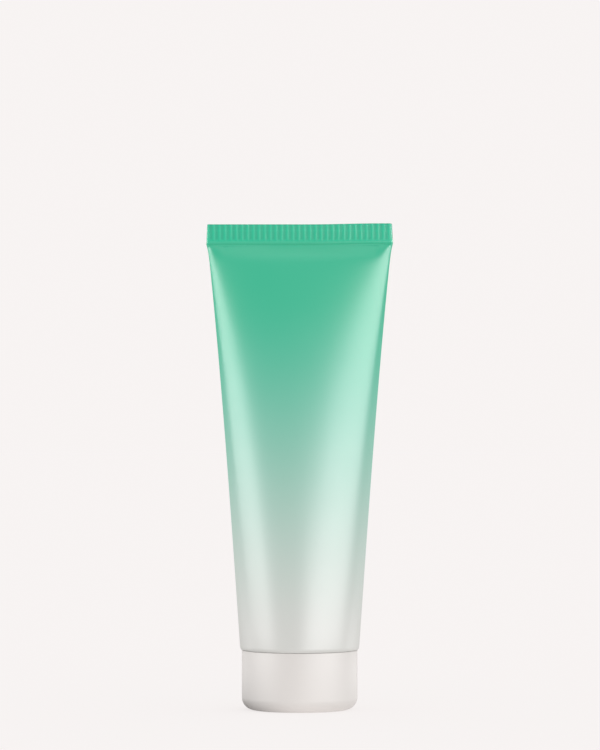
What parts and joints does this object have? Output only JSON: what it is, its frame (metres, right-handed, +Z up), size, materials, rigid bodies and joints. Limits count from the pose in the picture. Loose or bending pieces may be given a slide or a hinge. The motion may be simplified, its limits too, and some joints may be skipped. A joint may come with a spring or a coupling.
{
  "type": "balm squeeze tube",
  "caption": "Plastic squeeze tube standing on its round screw cap, round at the cap and crimped flat at the top, with threaded neck and liner inside.",
  "frame": {"origin": "centre of the cap's flat underside, which the tube stands on", "axes": "+Z up from the cap to the crimped seal, X along the width of the seal, Y through the thin way"},
  "size_m": [0.055, 0.035, 0.1431],
  "materials": {
    "sleeve_plastic": "satin, green at the seal fading to warm off-white at the cap",
    "head_plastic": "satin off-white",
    "balm": "soft and waxy",
    "cap_plastic": "smooth gloss, warm white",
    "liner_foam": "matt foam"
  },
  "bodies": {
    "cap": {"screw_cap": "cap_plastic"},
    "liner": {"cap_liner": "liner_foam"},
    "tube": {"tube_sleeve": "sleeve_plastic", "tube_head": "head_plastic", "balm_fill": "balm"}
  },
  "joints": [
    {"name": "unscrew_turn", "type": "hinge", "parent": "cap", "child": "liner", "pos_m": [0, 0, 0], "axis": [0, 0, 1], "range_deg": [0, 1085]},
    {"name": "unscrew_lift", "type": "slide", "parent": "liner", "child": "tube", "axis": [0, 0, 1], "range_m": [0, 0.009]}
  ],
  "couplings": [
    {"joint": "unscrew_turn", "follows": "unscrew_lift", "rad_per_m": 2094.4}
  ]
}
